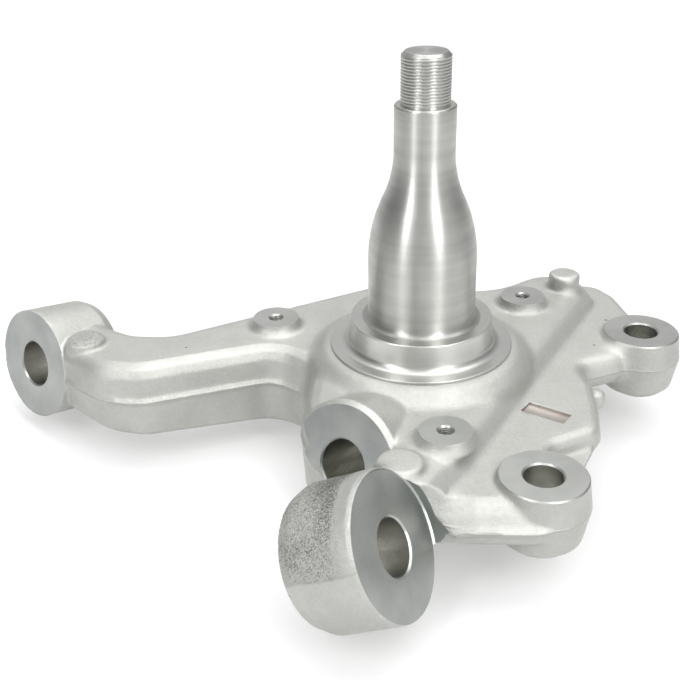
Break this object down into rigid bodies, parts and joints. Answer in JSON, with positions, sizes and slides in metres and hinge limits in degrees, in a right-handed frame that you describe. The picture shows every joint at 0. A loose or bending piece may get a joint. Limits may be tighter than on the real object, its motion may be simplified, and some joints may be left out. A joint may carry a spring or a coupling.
{
  "type": "steering knuckle",
  "caption": "Forged steering knuckle: upright wheel spindle on a flange with a steering arm, cross-bored link bosses, caliper lugs and tapped dust shield bosses.",
  "frame": {"origin": "on the spindle axis, at the shoulder that the inner wheel bearing seats against", "axes": "+Z along the spindle towards its threaded tip, -X towards the steering arm's end, -Y towards the large front boss"},
  "size_m": [0.3856, 0.2938, 0.2179],
  "materials": {
    "forged_steel": "blasted forged skin with turned and milled faces"
  },
  "bodies": {
    "root": {"knuckle": "forged_steel"}
  },
  "joints": []
}
